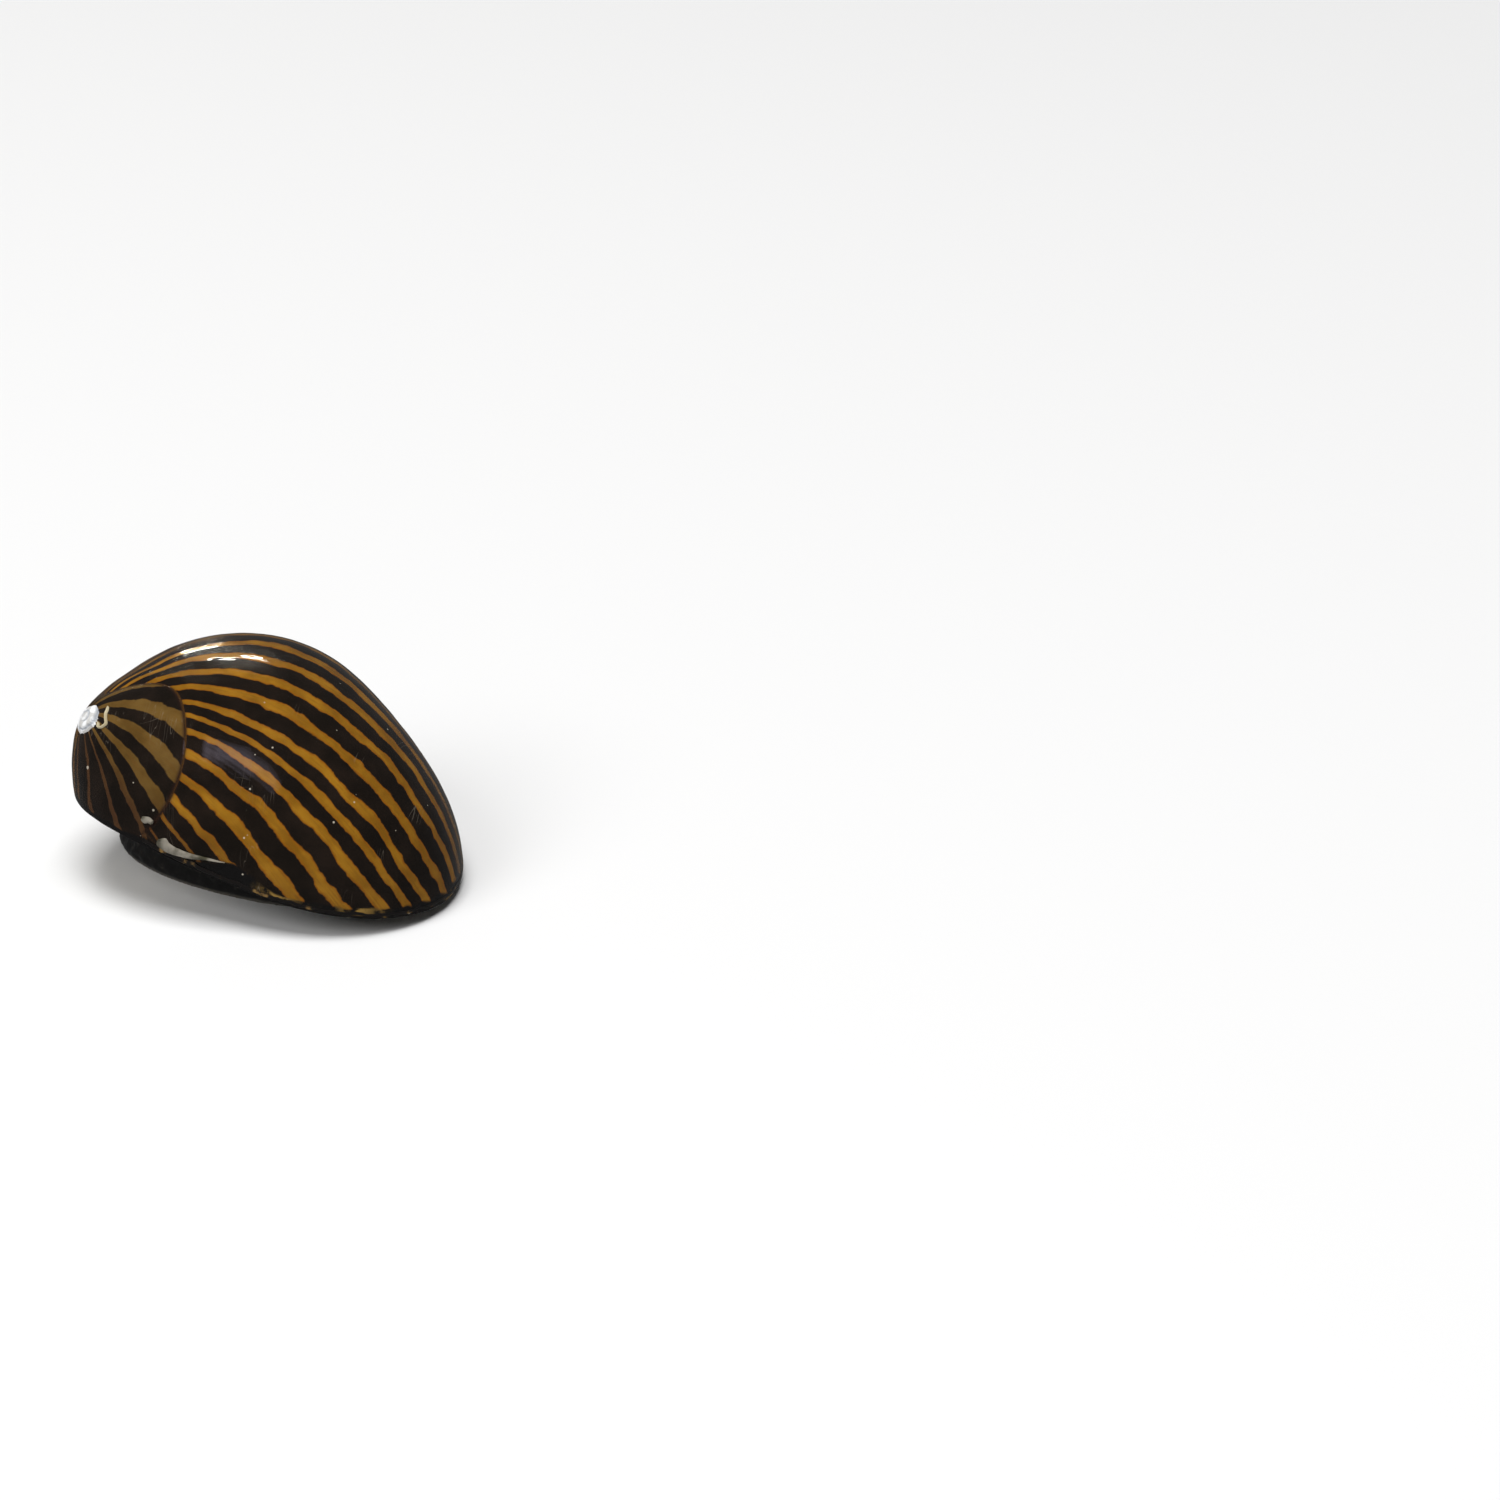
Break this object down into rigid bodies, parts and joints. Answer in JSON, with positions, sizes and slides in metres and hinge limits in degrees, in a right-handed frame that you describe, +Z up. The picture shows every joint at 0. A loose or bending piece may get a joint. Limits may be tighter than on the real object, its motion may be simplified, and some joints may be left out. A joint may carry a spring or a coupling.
{
  "type": "nerite snail",
  "caption": "Life-size still model of a zebra nerite snail resting on its foot, with a striped dome shell, worn white apex, dark soft body, head and tentacles under the front lip.",
  "frame": {"origin": "on the floor under the middle of the outline seen from above", "axes": "+X towards the head end, +Y towards the snail's left side, +Z up"},
  "size_m": [0.0231, 0.0186, 0.0138],
  "materials": {
    "shell_striped": "high gloss, ochre bands on near black brown",
    "shell_spire": "high gloss, dull tan bands on near black brown",
    "shell_worn": "chalky, pitted",
    "shell_lip": "gloss, chipped edge",
    "shell_deck": "smooth porcelain gloss",
    "lid_horn": "horny, semi-gloss",
    "flesh": "moist, dark mottled",
    "tentacle": "moist",
    "eye": "glossy bead"
  },
  "bodies": {
    "root": {"shell_body_whorl": "shell_striped", "shell_spire_whorl": "shell_spire", "shell_apex": "shell_worn", "shell_outer_lip": "shell_lip", "shell_columellar_deck": "shell_deck", "operculum": "lid_horn", "foot": "flesh", "head": "flesh", "snout": "flesh", "tentacle_left": "tentacle", "tentacle_right": "tentacle", "eye_left": "eye", "eye_right": "eye"}
  },
  "joints": []
}
